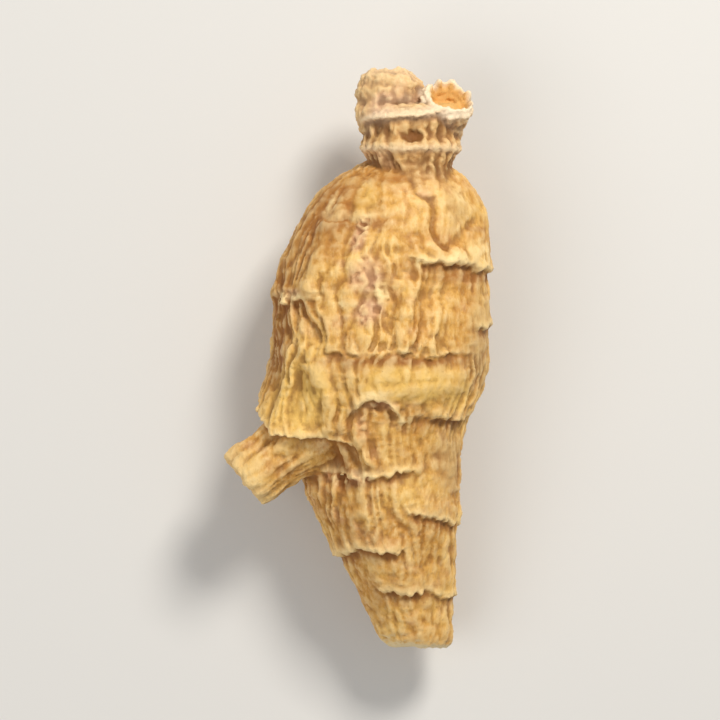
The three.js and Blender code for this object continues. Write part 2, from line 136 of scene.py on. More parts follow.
# Pleats: long folds that run down the body and start anew below each ledge
PLEATS_AROUND = 4.9  # cells of noise across one radian, about 31 pleats in all
PLEATS_ALONG = 0.14  # cells of noise to the millimetre
PLEAT_HEIGHT = 1.0
NEW_PLEATS = 2.7  # how far a ledge shifts the noise below it
PLEATS_START = (8, 15)  # the depths between which the pleats set in
TAIL = {"from": 36, "to": 48, "share": 0.35}  # where they thin out, and the share that is left
# Where the skin is smoother: the right shoulder, the band under the long crease, the middle of the
# shoulders, the lower right flank, the upper one, and the left shoulder. Each is an oval so many degrees
# wide and millimetres tall, and takes away a share of the pleats.
CALM = [
    {"angle": 55, "depth": 13.0, "wide": 46, "tall": 4.6, "share": 0.9},
    {"angle": 22, "depth": 29.2, "wide": 44, "tall": 2.2, "share": 0.75},
    {"angle": 12, "depth": 13.0, "wide": 26, "tall": 5.0, "share": 0.6},
    {"angle": 42, "depth": 36.8, "wide": 46, "tall": 4.6, "share": 0.8},
    {"angle": 60, "depth": 23.0, "wide": 36, "tall": 4.4, "share": 0.85},
    {"angle": -50, "depth": 14.5, "wide": 36, "tall": 5.0, "share": 0.5},
]
# Broad swellings and hollows: the band under the long crease, the three flaps of the right ledge, the
# dent below them, and the dip beside the skirt
SWELLINGS = [
    {"angle": 18, "depth": 28.9, "wide": 38, "tall": 1.9, "height": 0.6},
    {"angle": 66, "depth": 16.6, "wide": 15, "tall": 1.7, "height": 0.7},
    {"angle": 40, "depth": 17.2, "wide": 10, "tall": 1.4, "height": 0.45},
    {"angle": 18, "depth": 17.8, "wide": 6, "tall": 1.2, "height": 0.45},
    {"angle": 45, "depth": 20.6, "wide": 26, "tall": 1.5, "height": -0.35},
    {"angle": -38, "depth": 36.2, "wide": 15, "tall": 1.8, "height": -1.5},
]
# Folds that stand out from the rest: the angle of the lower end, the lean in degrees to the millimetre,
# the depths each runs between, its half width and its height
LOBES = [
    {"angle": 13, "lean": 0.3, "from": 18.5, "to": 26.4, "width": 0.95, "height": 0.8},
    {"angle": 31, "lean": -1.2, "from": 20.5, "to": 26.0, "width": 0.9, "height": 0.5},
    {"angle": -10, "lean": 0.6, "from": 31.8, "to": 36.6, "width": 0.9, "height": 0.8},
    {"angle": -34, "lean": 1.0, "from": 12.0, "to": 20.8, "width": 0.9, "height": 0.5},
    {"angle": -52, "lean": 0.6, "from": 24.0, "to": 33.0, "width": 1.1, "height": 0.6},
    {"angle": -27, "lean": 1.4, "from": 25.0, "to": 33.4, "width": 1.0, "height": 0.5},
    {"angle": 36, "lean": 3.4, "from": 9.0, "to": 16.9, "width": 0.6, "height": -0.6},
    {"angle": 38, "lean": -10.0, "from": 12.6, "to": 16.7, "width": 0.8, "height": -0.32},
]
LOBE_RADIUS = 9  # the body's radius where the lobes are
LOBE_TOP = 2.5  # how far a lobe takes to rise
LOBE_FOOT = (-0.6, 0.3)  # where its lower end rounds off, next to the depth that it runs to
# Noise of several sizes: how high, or how far in radians, with how many cells across a radian and to the
# millimetre
SLOW_SWAY = {"height": 0.24, "around": 1.5, "along": 0.22, "seed": 29}  # the pleats' wandering
QUICK_SWAY = {"height": 0.07, "around": 3, "along": 0.5, "seed": 31}
LUMPS = {"height": 0.5, "around": 1.3, "along": 0.13, "seed": 11}
NODULES = {"height": 0.3, "around": 5.5, "along": 0.6, "seed": 250}
ROUGHNESS = {"height": 0.16, "around": 3.3, "along": 0.9, "seed": 40}
# What these limbs add to the seed of their roughness
BODY_SEED = 3
COLLAR_SEED = 7
BRANCH_SEED = 13
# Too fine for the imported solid: pairs of heights are for smooth and for rough skin
ROUGH_SKIN = {"around": 2.2, "along": 0.2, "seed": 150, "range": (-0.5, 0.5)}
CRUMPLE = {"heights": (0.1, 0.4), "around": 9, "along": 0.36, "seed": 100}
SKIN_RINGS = {"heights": (0.25, 0.05), "around": 1.6, "along": 0.7, "seed": 200}

# The collar at the crown: a rim that tips up to the right and is tallest in front, a waist with a bud
# scar, a beaded ridge, and a neck that sinks into the shoulders
COLLAR_OUTLINE = [
    (0, 3.3), (3.0, 3.3), (4.2, 3.5), (4.65, 4.1), (4.5, 5.0), (4.4, 6.3), (4.75, 7.2),
    (4.2, 8.0), (3.75, 9.0), (3.75, 10.2), (4.3, 11.8), (3.0, 13.6), (0, 14.0),
]
COLLAR_AXIS = [(2.5, 2.9, 1.5), (2.4, 7.0, 2.0), (2.8, 14.0, 2.9)]
COLLAR_OVAL = 0.86
COLLAR_RADIUS = 4.2
RIBS = {"height": 0.5, "around": 4.2, "along": 0.12, "seed": 61, "start": (4.6, 5.6)}  # down the collar
BEADS = {"height": 0.35, "around": 3.4, "seed": 67, "depth": 7.3, "width": 0.6}
RIM = {"depth": 4.2, "tips": 0.5, "wanders": 0.3, "around": 2.4, "seed": 73, "height": 0.5, "width": 0.35}
BUD_SCAR = {"angle": 1, "depth": 6.5, "wide": 0.9, "tall": 0.45, "sunk": 0.5}
BUD_EDGE = {"height": 0.5, "around": 6.5, "along": 1.6, "seed": 91}  # how uneven the scar's edge is
BUD_NODULES = {"height": 0.5, "around": 8, "along": 1.9, "seed": 95, "reach": 1.5}
# The lips on the collar: one so far down from the rim's edge, and one on the beaded ridge
BRIM = {"height": 0.5, "depth": -0.1, "width": 0.55}
RIDGE = {"height": 0.35, "depth": 7.4, "width": 0.35}
FRONT = (0.6, 0.4)  # the rim's share of its height at its sides, and how much more it is in front

# The left stem scar: a low dome with a shallow dish on top. The right one: a hollow cup that tips towards
# the front.
DOME_OUTLINE = [
    (0, 0.8), (1.1, 0.6), (1.9, 0.05), (2.7, 0.7), (3.15, 1.9), (3.0, 3.1), (3.2, 4.2), (2.6, 6.0), (0, 6.6),
]
DOME_AXIS = [(0.55, 0, 1.5), (0.5, 6.6, 1.9)]
DOME_OVAL = 0.92
DOME_EDGE = {"seed": 71, "ragged": 0.2, "bright": 0.15}
CUP_OUTLINE = [
    (0, 2.0), (0.9, 1.75), (1.5, 0.7), (1.95, -0.05), (2.55, 0.15), (2.65, 0.9), (2.2, 2.2), (2.1, 4.4),
    (1.2, 6.0), (0, 6.3),
]
CUP_AXIS = [(0, -1, 0), (0, 7, 0)]
CUP_MOUTH = (6.05, 2.55, 3.5)  # x, depth and z of the middle of the cup's mouth
CUP_FACES = (0.22, 0.76, 0.61)  # the way the mouth looks
CUP_EDGE = {"seed": 77, "ragged": 0.9, "bright": 0.6}
# On both scars: rings, lumps, and the peaks of the ragged edge, which fade in front and down the side
RINGS = {"height": 0.5, "around": 0.9, "along": 0.75, "seed": 5}
SCAR_LUMPS = {"height": 0.3, "around": 1.9, "along": 0.4, "seed": 0}
PEAKS = {"around": 3.2, "seed": 9, "down": 0.8, "front": 0.25, "back": (-0.3, 0.6)}
SCAR_ROUGHNESS = 1.3  # times the skin's
SCAR_LIP = {"least": 0.1, "down": 0.9}  # the lip all over a scar, and how far its bright edge reaches

# The side root: half its thickness and the depth along it, cut short at its far end
BRANCH_OUTLINE = [
    (0, 0), (3.6, 0.6), (4.9, 2.6), (4.2, 6.0), (3.4, 9.0), (3.0, 11.8), (3.05, 14.0), (2.5, 15.1),
    (1.1, 14.9), (0, 14.3),
]
BRANCH_AXIS = [(0, 0, 0), (0, 7, 0.9), (0, 15.2, 0)]
BRANCH_FOOT = (-0.9, 28.7, 0.8)  # x, depth and z of its start, inside the body
BRANCH_GROWS = (-0.79, -0.61, 0.06)  # its direction: x, y, z
BRANCH_OVAL = 0.9
BRANCH_PLEATS = {"height": 0.4, "around": 2.2, "along": 0.1, "seed": 83}
BRANCH_LUMPS = {"height": 0.35, "around": 0.9, "along": 0.16, "seed": 87}
BRANCH_LIP = {"height": 0.35, "depth": 14.6, "width": 0.8}

POLE_CALM = 1.2  # relief fades this near the middle of a limb's ends
CUT_CALM = 2.9  # and more so on the cut ends of the tail and the side root
DISH_CALM = 2.1  # and in the dome's dish

LIMBS = ("body", "collar", "dome", "cup", "branch")  # in the order in which limbs() makes them
# How fine the mesh is: points around and along each limb, steps of the curves, and the remesh's cell
BODY_GRID = (420, 330)
COLLAR_GRID = (210, 130)
DOME_GRID = (140, 90)
CUP_GRID = (120, 100)
BRANCH_GRID = (170, 120)
OUTLINE_STEPS = 2001
AXIS_STEPS = 61
VOXEL = 0.15  # millimetres
SHARPEN = {"blur": 3, "share": 0.3}  # how far each point moves away from the blurred skin
MOST_TRIANGLES = 195000

# The small wrinkles in space: cells to the millimetre across the root and along it, and heights in
# millimetres, where a pair is for skin that is smooth and skin that is worn
SWAY = {"cells": 0.3, "share": np.array((1, 0.6, -1))}
WORN = {"cells": 0.22, "seed": 40, "range": (-0.4, 0.5)}
LONG_WRINKLES = {"heights": (0.05, 0.16), "across": 1.3, "along": 0.28, "seed": 3}
SHORT_WRINKLES = {"heights": (0.03, 0.1), "across": 2.8, "along": 0.6, "seed": 5}
CROSS_WRINKLES = {"heights": (0.1, 0.02), "across": 0.5, "along": 2.2, "seed": 7}
CRUMPLED = {"height": 0.3, "across": 0.75, "seed": 21, "shares": (0.35, 1)}
GRAIN = {"height": 0.05, "cells": 3.6}
# How far the wrinkles swing aside, in millimetres, and how many cells to the millimetre the crumpling has
# along the limb
BODY_RUN = {"swing": 0.8, "crumpled": 0.5}
BRANCH_RUN = {"swing": 0.35, "crumpled": 0.14}
BUSY_LEAST = 0.25  # how busy the calmest skin still is, which scales the crumpling
WRINKLES_LEAST = 0.5  # the share of the wrinkles that is there however calm the skin is
CRUST = {"height": 0.22, "across": 1.7, "along": 1.5, "seed": 9, "ends": (8.6, 11.5)}  # on the crown
SCARRING = {"height": 0.4, "across": 1.1, "along": 1.0, "seed": 13}  # in the rosy patches

# Where the skin is tinted or painted with shade: the angle and depth of each patch, with its half width in
# degrees and its half height in millimetres
TINTS = {
    "yellow": [(20, 28.8, 36, 1.9), (-22, 12.4, 9, 1.6), (52, 30.0, 16, 1.4), (-46, 30.0, 30, 3.8)],
    "rosy": [
        (2, 30.9, 10, 0.5), (-18, 15.4, 5, 1.8), (-10, 19.0, 9, 1.8), (-7, 22.4, 9, 1.3),
        (-9, 33.2, 4, 1.4), (-30, 37.4, 20, 0.9), (-60, 20.8, 20, 0.6),
    ],
    "grey": [(70, 25.0, 18, 5.0), (60, 36.0, 20, 3.0), (-4, 20.6, 8, 1.8), (44, 12.4, 12, 2.4)],
    # painted shade, most of it on the left shoulder and flank, which turn away from the key light
    "painted_shade_patches": [
        (-54, 13.4, 34, 5.4), (-72, 23.0, 18, 7.0), (-20, 9.8, 60, 1.0), (-34, 37.0, 12, 1.8),
        (150, 24.0, 20, 6.0),
    ],
    # painted shadow in the gap beside the side root, in the long crease and by the right ledge
    "painted_shadow": [(-38, 35.9, 20, 1.0), (8, 26.9, 36, 0.3), (50, 19.3, 34, 0.4), (62, 14.8, 12, 0.3)],
    "cream": [
        (64, 16.9, 15, 1.2), (38, 17.7, 10, 0.8), (20, 17.9, 5, 0.6), (-47, 12.9, 5, 1.0),
        (-16, 14.3, 3, 0.8), (-62, 21.2, 9, 0.6), (-47, 21.4, 6, 0.6), (-36, 20.9, 4, 0.6),
        (-23, 21.8, 5, 0.5), (-13, 22.0, 4, 0.5), (-1, 20.6, 5, 0.9), (-34, 37.6, 9, 0.6),
        (-12, 37.4, 6, 0.5), (0, 29.9, 12, 0.3), (16, 32.3, 4, 0.5), (13, 26.2, 3, 0.6),
        (50, 11.4, 8, 1.0),
    ],
    "orange": [
        (0, 31.8, 12, 1.0), (-6, 33.4, 9, 1.5), (-4, 27.0, 30, 0.5), (-28, 9.6, 30, 0.8),
        (20, 19.6, 8, 1.2), (62, 15.4, 14, 0.6),
    ],
}
# A patch's uneven edge: the reach at its middle, and noise of two sizes (share and cells to the millimetre)
PATCH_REACH = 1.6
PATCH_UNEVEN = 1.4
BLOTCHES = ((0.5, 0.5), (0.3, 1.3))
CREAM_RAISED = (0.55, 0.06)  # the cream tint's share on level skin, and the height that adds 1 to it

# Masks from the relief: how often the mesh is averaged, and the height in millimetres that gives a full
# mask
NEAR_BLUR = 6
WIDE_BLUR = 60
LIMB_BLUR = 6
LIP_BLUR = 2
FINE_FULL = 0.05
BROAD_FULL = 0.35
CROWN_FULL = 0.2  # for the painted shade in the hollows on the crown
LIP_BRIGHT = 1.5  # times a lip above 0
UNDER_LEDGE_SHADE = 2.2  # times one below 0, which paints the shade under a ledge
# The bud scar, in the frame of the part: it is on the front alone, above a height
BUD = {
    "x": 3.0, "y": 17.1, "wide": 0.7, "tall": 0.45, "above": 10,
    "uneven": 1.3, "cells": 1.9, "edge": (0.5, 1.3),
}
# The dark pits of the crust, painted shade in its hollows: narrow hollows and broad ones, in millimetres, and
# where they gather
PITS = {"share": 0.6, "fine": 0.03, "blur": 2, "broad": 0.16, "cells": 0.7, "seed": 11, "range": (-0.5, 0.2)}
CUP_INSIDE = {"radius": 2.15, "edge": 0.5, "depths": (-3.2, -2.6)}  # round its axis, out from its mouth
FLESH = {"faces": (0.5, 0.8), "depths": (51.6, 52.2)}  # the tail's cut end: how far it faces down, and where

# The hash that gives the noise its slopes
HASH_PRIMES = (374761393, 668265263, 1440662683)
HASH_SCRAMBLE = 1274126177
HASH_SHIFTS = (13, 16)
SLOPE_BITS = (0, 10, 20)
SLOPE_MASK = 1023
SEED_STEP = 0.37  # how far a seed moves the noise along its third axis, next to the first
NOISE_GAIN = 1.1  # brings the noise to about -1 to 1
CREASE_WIDTH = 0.004  # how rounded the bottom of a crease is


def linear(red, green, blue):
    """A colour given in the 0 to 255 of a screen, as the shader takes it."""
    def channel(value):
        value /= 255
        return value / 12.92 if value <= 0.04045 else ((value + 0.055) / 1.055) ** 2.4
    return (channel(red), channel(green), channel(blue), 1)


TAN = linear(206, 147, 63)
PALE = linear(236, 188, 98)
BROWN = linear(168, 106, 36)
# the colour of the painted shade under the ledges
PAINTED_SHADE_BROWN = linear(140, 80, 26)
DARK = linear(128, 78, 24)
CREAM = linear(252, 222, 160)
CHALK = linear(252, 233, 203)
ROSY = linear(214, 166, 134)
YELLOW = linear(236, 192, 98)
GREY = linear(192, 156, 102)
ORANGE = linear(204, 146, 66)
CROWN = linear(202, 156, 100)
PINK = linear(226, 176, 146)
PEACH = linear(224, 174, 100)
OLIVE = linear(108, 72, 30)
CUT_FLESH = linear(236, 212, 162)
FLOOR_COLOUR = (0.70, 0.69, 0.67, 1)

# Colours laid over the skin: the mask, the colour and how much of it shows at most
TINT_LAYERS = [
    ("yellow", YELLOW, 0.8),
    ("grey", GREY, 0.7),
    ("rosy", ROSY, 0.75),
    # the painted shade patches, darker where the skin turns away from the light
    ("painted_shade_patches", BROWN, 0.95),
    ("crown", CROWN, 0.7),
]
RELIEF_LAYERS = [
    # painted light: broad bulges made paler
    ("painted_bulge_light", PALE, 0.35),
    # painted shade: broad hollows made browner
    ("painted_hollow_shade", BROWN, 0.38),
    ("orange", ORANGE, 0.6),
    # the painted shadow patches
    ("painted_shadow", BROWN, 0.7),
    # painted shade in the strip under each ledge
    ("painted_ledge_shade", PAINTED_SHADE_BROWN, 0.6),
]
# Painted shade in the crown's pits and in creases, ridges paler from wear and painted highlight, and cream
# nubs
SHADE_HIGHLIGHT_AND_WEAR_LAYERS = [
    # painted shade in the crown's pits
    ("painted_pit_shade", OLIVE, 0.85),
    # painted shade in the fine creases
    ("painted_crease_shade", DARK, 0.58),
    # ridges made paler: partly worn skin, partly painted highlight
    ("ridge", CREAM, 0.38),
    ("cream", CREAM, 0.75),
]
LIP_SHOWS = 0.8
# The noises in the skin's colour: cells to the metre, and how they are stretched along the root
MOTTLE = {"cells": 220, "range": (0.38, 0.68)}
DUST = {"cells": 600, "detail": 4.0, "range": (0.5, 0.72, 0.0, 0.4)}
FLECKS = {"cells": 1700, "detail": 4.0, "rough": 0.7, "stretch": (1, 0.45, 1)}
LIGHT_FLECKS = (0.5, 0.7, 0.0, 0.5)
DARK_FLECKS = (0.5, 0.32, 0.0, 0.45)
STREAKS = {"cells": 800, "stretch": (1, 0.3, 1), "range": (0.48, 0.78, 0.0, 0.42)}
BLUSH = (0.5, 0.66, 0.0, 0.6)
SPECKS = {"cells": 3200, "detail": 2.0, "range": (0.62, 0.8, 0.0, 0.35)}
WAXY = (0.72, 0.5)  # how rough the skin shines, between the ridges and on them
BUMP = {
    "cells": 2600, "detail": 5.0, "rough": 0.7, "stretch": (1, 0.5, 1), "distance": 0.00014, "strength": 0.8,
}

# The studio, in metres
FLOOR_REACH = 1.0  # half its side
FLOOR_ROUGHNESS = 0.9
CAMERA_HEIGHT = 0.45
CAMERA_LENS = 240
WORLD_STRENGTH = 0.34
LIGHTS = [
    {"name": "key", "place": (0.13, 0.22, 0.27), "size": 0.10, "power": 1.16, "colour": (1, 0.96, 0.89)},
    {"name": "fill", "place": (-0.22, -0.10, 0.34), "size": 0.3, "power": 0.55, "colour": (1, 0.97, 0.93)},
]


def smoothstep(x, low, high):
    t = np.clip((x - low) / (high - low), 0, 1)
    return t * t * (3 - 2 * t)


def mix(a, b, share):
    return a + (b - a) * share


def bell(x, width):
    return np.exp(-((x / width) ** 2))


def corner_slope(x, y, z, dx, dy, dz):
    """One pseudo-random slope at a corner of the noise's lattice, dotted with the way from that corner."""
    corner = (np.asarray(c, np.int64).astype(np.uint32) for c in (x, y, z))
    x, y, z = (c * np.uint32(prime) for c, prime in zip(corner, HASH_PRIMES))
    h = x ^ y ^ z
    h = (h ^ (h >> np.uint32(HASH_SHIFTS[0]))) * np.uint32(HASH_SCRAMBLE)
    h = h ^ (h >> np.uint32(HASH_SHIFTS[1]))
    slope = [((h >> np.uint32(bits)) & np.uint32(SLOPE_MASK)) / (SLOPE_MASK / 2) - 1 for bits in SLOPE_BITS]
    return slope[0] * dx + slope[1] * dy + slope[2] * dz


def noise(x, y, z):
    """Smooth gradient noise between about -1 and 1, with its lattice turned so that no rows of it line up."""
    x, y, z = 0.8 * y + 0.6 * z, -0.8 * x + 0.36 * y - 0.48 * z, -0.6 * x - 0.48 * y + 0.64 * z
    x, y, z = np.broadcast_arrays(x, y, z)
    i, j, k = np.floor(x), np.floor(y), np.floor(z)
    u, v, w = x - i, y - j, z - k
    fu, fv, fw = (t * t * t * (t * (t * 6 - 15) + 10) for t in (u, v, w))

    def edge(b, c):
        return mix(corner_slope(i, j + b, k + c, u, v - b, w - c),
                   corner_slope(i + 1, j + b, k + c, u - 1, v - b, w - c), fu)

    def face(c):
        return mix(edge(0, c), edge(1, c), fv)

    return NOISE_GAIN * mix(face(0), face(1), fw)


def noise_around(angle, depth, around, along, seed):
    """Noise wrapped round an axis, with so many cells to the radian and to the millimetre."""
    return noise(around * np.cos(angle) + seed, around * np.sin(angle), along * depth + SEED_STEP * seed)


def folded(values):
    """Turns noise into round-topped folds with sharp creases between them, from about -0.5 to 0.5."""
    return np.sqrt(np.abs(values) + CREASE_WIDTH) - 0.5


def folds(angle, depth, around, along, seed):
    return folded(noise_around(angle, depth, around, along, seed))


def noise_of(kind, angle, depth, seed=0):
    return kind["height"] * noise_around(angle, depth, kind["around"], kind["along"], kind["seed"] + seed)


def folds_of(kind, angle, depth, seed=0):
    return kind["height"] * folds(angle, depth, kind["around"], kind["along"], kind["seed"] + seed)


def turn_from(angle, start):
    """The signed angle from one direction to another, the short way round."""
    return (angle - start + math.pi) % TURN - math.pi


def ledge_at(ledge, seed, angle, depth, shift):
    """How much one ledge lifts the skin, how far each point is past its line, and its lip."""
    at = ledge["depth"]
    half = (ledge["to"] - ledge["from"]) / 2 * DEGREE
    across = turn_from(angle, (ledge["from"] + ledge["to"]) / 2 * DEGREE) / half
    share = smoothstep(half * (1 - np.abs(across)), 0, ledge["ends"] * DEGREE)
    patches = noise_around(angle, at, LEDGE_PATCHES["around"], 0, seed + LEDGE_PATCHES["seed"])
    patchy = np.clip(1 + ledge["uneven"] * patches, LEDGE_PATCHES["least"], LEDGE_PATCHES["most"])
    height = ledge["height"] * patchy
    wave = LEDGE_WAVE["height"] * noise_around(angle, at, LEDGE_WAVE["around"], 0, seed)
    fringe = ledge["fringe"] * folds(angle, at, PLEATS_AROUND, PLEATS_ALONG, shift)
    line = at + ledge["slant"] * across + ledge["arch"] * across * across + wave + fringe
    below = depth - line
    swell = height * np.clip(1 + below / ledge["rise"], 0, 1) ** 2
    groove = -LEDGE_UNDERCUT * height * np.exp(-np.maximum(below, 0) / GROOVE_LENGTH)
    past = smoothstep(below, -LEDGE_STEP, 0)
    bright = ledge["bright"] * bell(below - LIP_EDGE["depth"], LIP_EDGE["width"])
    # a strip of painted shade just under the ledge's edge, carried by the lip below 0
    shade = ledge["shade"] * bell(below - LIP_SHADE["depth"], LIP_SHADE["width"])
    lip = share * np.minimum(LIP_LEAST + height, LIP_MOST) * (bright - shade)
    return share * mix(swell, groove, past), share * past, lip


def pleat_share(angle, depth):
    """How much of the pleats is left: less at the top, down the thin tail and where the skin is calm."""
    thinner = mix(1, TAIL["share"], smoothstep(depth, TAIL["from"], TAIL["to"]))
    share = smoothstep(depth, *PLEATS_START) * thinner
    for calm in CALM:
        away = np.hypot(turn_from(angle, calm["angle"] * DEGREE) / (calm["wide"] * DEGREE),
                        (depth - calm["depth"]) / calm["tall"])
        share = share * (1 - calm["share"] * np.exp(-away**4))
    return share


def swellings(angle, depth):
    lift = 0
    for one in SWELLINGS:
        across = turn_from(angle, one["angle"] * DEGREE) / (one["wide"] * DEGREE)
        lift = lift + one["height"] * np.exp(-across**2 - ((depth - one["depth"]) / one["tall"]) ** 2)
    return lift


def lobes(angle, depth):
    lift = 0
    for lobe in LOBES:
        middle = (lobe["angle"] + lobe["lean"] * (depth - lobe["to"])) * DEGREE
        across = turn_from(angle, middle) * LOBE_RADIUS / lobe["width"]
        top = smoothstep(depth, lobe["from"], lobe["from"] + LOBE_TOP)
        foot = 1 - smoothstep(depth, lobe["to"] + LOBE_FOOT[0], lobe["to"] + LOBE_FOOT[1])
        lift = lift + lobe["height"] * np.exp(-across * across) * top * foot
    return lift


def body_relief(angle, depth):
    """How much the body's skin is lifted, and its lip. Each relief below returns the same two."""
    lift = np.zeros(np.broadcast(angle, depth).shape)
    shift = lift.copy()
    lip = lift.copy()
    swayed = angle + noise_of(SLOW_SWAY, angle, depth) + noise_of(QUICK_SWAY, angle, depth)
    for index, ledge in enumerate(LEDGES):
        up, past, near = ledge_at(ledge, index, swayed, depth, shift)
        lift += up
        shift += NEW_PLEATS * past
        lip += near
    share = pleat_share(angle, depth)
    pleats = PLEAT_HEIGHT * share * folds(swayed, depth, PLEATS_AROUND, PLEATS_ALONG, shift)
    named = lobes(swayed, depth) + swellings(angle, depth)
    patches = noise_around(angle, depth, ROUGH_SKIN["around"], ROUGH_SKIN["along"], ROUGH_SKIN["seed"])
    rough = smoothstep(patches, *ROUGH_SKIN["range"])
    crumples = folds(swayed, depth, CRUMPLE["around"], CRUMPLE["along"], shift + CRUMPLE["seed"])
    crumple = mix(*CRUMPLE["heights"], rough) * share * crumples
    ringed = folds(angle, depth, SKIN_RINGS["around"], SKIN_RINGS["along"], SKIN_RINGS["seed"])
    rings = mix(*SKIN_RINGS["heights"], rough) * ringed
    nodules = share * noise_of(NODULES, angle, depth)
    coarse = lift + noise_of(LUMPS, angle, depth) + pleats + named
    return coarse + crumple + rings + nodules + noise_of(ROUGHNESS, angle, depth, BODY_SEED), lip


def collar_relief(angle, depth):
    ribs = folds_of(RIBS, angle, depth) * smoothstep(depth, *RIBS["start"])
    beaded = BEADS["height"] * folds(angle, 0, BEADS["around"], 0, BEADS["seed"])
    beads = beaded * bell(depth - BEADS["depth"], BEADS["width"])
    away = np.hypot(turn_from(angle, BUD_SCAR["angle"] * DEGREE) * COLLAR_RADIUS / BUD_SCAR["wide"],
                    (depth - BUD_SCAR["depth"]) / BUD_SCAR["tall"])
    away = away + noise_of(BUD_EDGE, angle, depth)
    nodules = noise_of(BUD_NODULES, angle, depth) * np.exp(-((away / BUD_NODULES["reach"]) ** 4))
    scar = -BUD_SCAR["sunk"] * np.exp(-away * away) + nodules
    wandering = RIM["wanders"] * noise_around(angle, 0, RIM["around"], 0, RIM["seed"])
    edge = RIM["depth"] - RIM["tips"] * np.sin(angle) + wandering
    front = FRONT[0] + FRONT[1] * np.cos(angle)
    rim = RIM["height"] * front * bell(depth - edge, RIM["width"])
    brim = BRIM["height"] * front * bell(depth - edge - BRIM["depth"], BRIM["width"])
    ridge = RIDGE["height"] * bell(depth - RIDGE["depth"], RIDGE["width"])
    return ribs + beads + scar + rim + noise_of(ROUGHNESS, angle, depth, COLLAR_SEED), brim + ridge


def scar_relief(edge):
    seed = edge["seed"]

    def relief(angle, depth):
        towards_back = mix(PEAKS["front"], 1, smoothstep(-np.cos(angle), *PEAKS["back"]))
        peaked = noise_around(angle, 0, PEAKS["around"], 0, seed + PEAKS["seed"])
        peaks = edge["ragged"] * towards_back * peaked * bell(depth, PEAKS["down"])
        rough = SCAR_ROUGHNESS * noise_of(ROUGHNESS, angle, depth, seed)
        lift = noise_of(SCAR_LUMPS, angle, depth, seed) + rough + folds_of(RINGS, angle, depth, seed) + peaks
        lip = SCAR_LIP["least"] + edge["bright"] * bell(depth, SCAR_LIP["down"])
        return lift, np.broadcast_to(lip, lift.shape)

    return relief


def branch_relief(angle, depth):
    folded_skin = folds_of(BRANCH_PLEATS, angle, depth) + noise_of(BRANCH_LUMPS, angle, depth)
    lift = folded_skin + noise_of(ROUGHNESS, angle, depth, BRANCH_SEED)
    lip = BRANCH_LIP["height"] * bell(depth - BRANCH_LIP["depth"], BRANCH_LIP["width"])
    return lift, np.broadcast_to(lip, lift.shape)


def catmull(points, t):
    """Points of the Catmull-Rom curve through the given points, at t from 0 to 1."""
    points = np.asarray(points, float)
    last = len(points) - 1
    at = np.asarray(t, float) * last
    i = np.minimum(np.floor(at).astype(int), last)
    w = (at - i)[:, None]
    p0, p1 = points[np.maximum(i - 1, 0)], points[i]
    p2, p3 = points[np.minimum(i + 1, last)], points[np.minimum(i + 2, last)]
    v0, v1 = (p2 - p0) / 2, (p3 - p1) / 2
    return (2 * p1 - 2 * p2 + v0 + v1) * w**3 + (3 * p2 - 3 * p1 - 2 * v0 - v1) * w**2 + v0 * w + p1


def even_rows(outline, rows):
    """Points spaced evenly along an outline, and the outline's direction at each."""
    fine = catmull(outline, np.linspace(0, 1, OUTLINE_STEPS))
    run = np.concatenate([[0], np.cumsum(np.linalg.norm(np.diff(fine, axis=0), axis=1))])
    places = np.linspace(0, run[-1], rows + 1)
    points = np.stack([np.interp(places, run, fine[:, c]) for c in (0, 1)], 1)
    tangent = np.gradient(points, axis=0)
    return points, tangent / np.linalg.norm(tangent, axis=1)[:, None]


def centre_at(axis, depth):
    """The x and z of an axis at a depth."""
    curve = catmull(axis, np.linspace(0, 1, AXIS_STEPS))
    return np.interp(depth, curve[:, 1], curve[:, 0]), np.interp(depth, curve[:, 1], curve[:, 2])


def grid_faces(around, along):
    """The faces of a limb's rings, with a fan of triangles at each end."""
    here = 1 + np.arange((along - 1) * around).reshape(along - 1, around)
    right = np.roll(here, -1, axis=1)
    quads = np.stack([here[:-1], here[1:], right[1:], right[:-1]], -1).reshape(-1, 4)
    top = np.stack([np.zeros(around, int), here[0], right[0]], -1)
    tail = np.stack([np.full(around, here[-1, -1] + 1), right[-1], here[-1]], -1)
    return [*top.tolist(), *quads.tolist(), *tail.tolist()]


def skin(outline, axis, oval, relief, grid, calm=POLE_CALM):
    """A limb's skin as (points, faces, lip), closed at both ends."""
    around, along = grid
    rows, tangent = even_rows(outline, along)
    reach, depth = rows[1:-1, :1], rows[1:-1, 1:]
    run_out, run_down = tangent[1:-1, :1], tangent[1:-1, 1:]
    angle = TURN * np.arange(around)[None, :] / around - math.pi / 2
    lift, lip = relief(angle, depth)
    lift = lift * smoothstep(reach, 0, calm)
    radius = np.maximum(reach + lift * run_down, 0)
    moved = depth - lift * run_out + OVERHANG * lip * (run_down > SIDE)
    centre_x, centre_z = centre_at(axis, depth)
    across = centre_x + radius * np.sin(angle)
    up = centre_z + oval * radius * np.cos(angle)
    rings = np.stack([across, -moved, up], -1)
    ends = []
    for end in (rows[0, 1], rows[-1, 1]):
        x, z = centre_at(axis, end)
        ends.append((x, -end, z))
    points = np.concatenate([[ends[0]], rings.reshape(-1, 3), [ends[1]]])
    return points, grid_faces(around, along), lip


def placed(points, spot, way):
    """Turns and moves a limb that was made going down from the origin."""
    turn = Vector((0, -1, 0)).rotation_difference(Vector(way).normalized()).to_matrix()
    x, depth, z = spot
    return points @ np.array(turn).T + (x, -depth, z)


